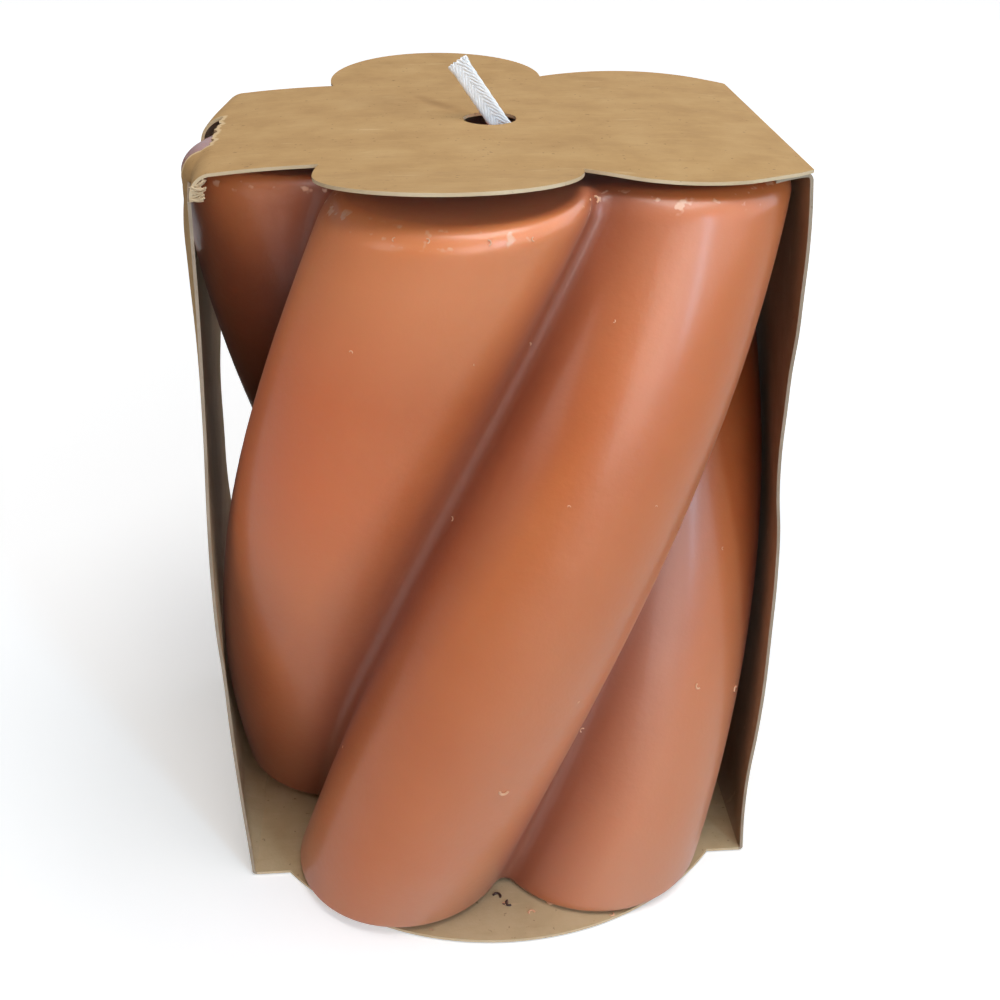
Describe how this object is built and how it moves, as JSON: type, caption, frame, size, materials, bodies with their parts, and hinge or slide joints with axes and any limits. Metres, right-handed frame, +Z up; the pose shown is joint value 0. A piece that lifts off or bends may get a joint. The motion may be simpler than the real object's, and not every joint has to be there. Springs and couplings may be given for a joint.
{
  "type": "twisted pillar candle",
  "caption": "Thick pillar candle moulded as round wax strands twisted together, with a cotton wick, standing in a folded kraft card wrap whose side walls and lobed top panel open.",
  "frame": {"origin": "middle of the base panel's underside", "axes": "+Z up along the candle, +Y from the open front of the wrap to its open back, +X to the wall with the closing flap"},
  "size_m": [0.0799, 0.0788, 0.1088],
  "materials": {
    "wax": "rust orange candle wax, satin",
    "wick": "white plaited cotton",
    "kraft_card": "brown kraft card, matt, cream at its cut edges"
  },
  "bodies": {
    "base": {"base_panel": "kraft_card", "wax_body": "wax", "wick_core": "wick"},
    "left_wall": {"left_wall": "kraft_card"},
    "top_panel": {"top_panel": "kraft_card"},
    "right_wall": {"right_wall": "kraft_card", "closing_flap": "kraft_card"},
    "wick_tip": {"wick_tip": "wick"}
  },
  "joints": [
    {"name": "left_wall_fold", "type": "hinge", "parent": "base", "child": "left_wall", "pos_m": [-0.035, 0, 0], "axis": [0, -1, 0], "range_deg": [0, 85], "deforming": ["wick_tip"]},
    {"name": "top_panel_fold", "type": "hinge", "parent": "left_wall", "child": "top_panel", "pos_m": [-0.0373, 0, 0.09665], "axis": [0, -1, 0], "range_deg": [0, 90], "deforming": ["wick_tip"]},
    {"name": "right_wall_fold", "type": "hinge", "parent": "base", "child": "right_wall", "pos_m": [0.035, 0, 0], "axis": [0, 1, 0], "range_deg": [0, 85]},
    {"name": "wick_bend", "type": "hinge", "parent": "base", "child": "wick_tip", "pos_m": [0.0013, -0.0006, 0.0992], "axis": [0, 1, 0], "range_deg": [-20, 32]}
  ]
}
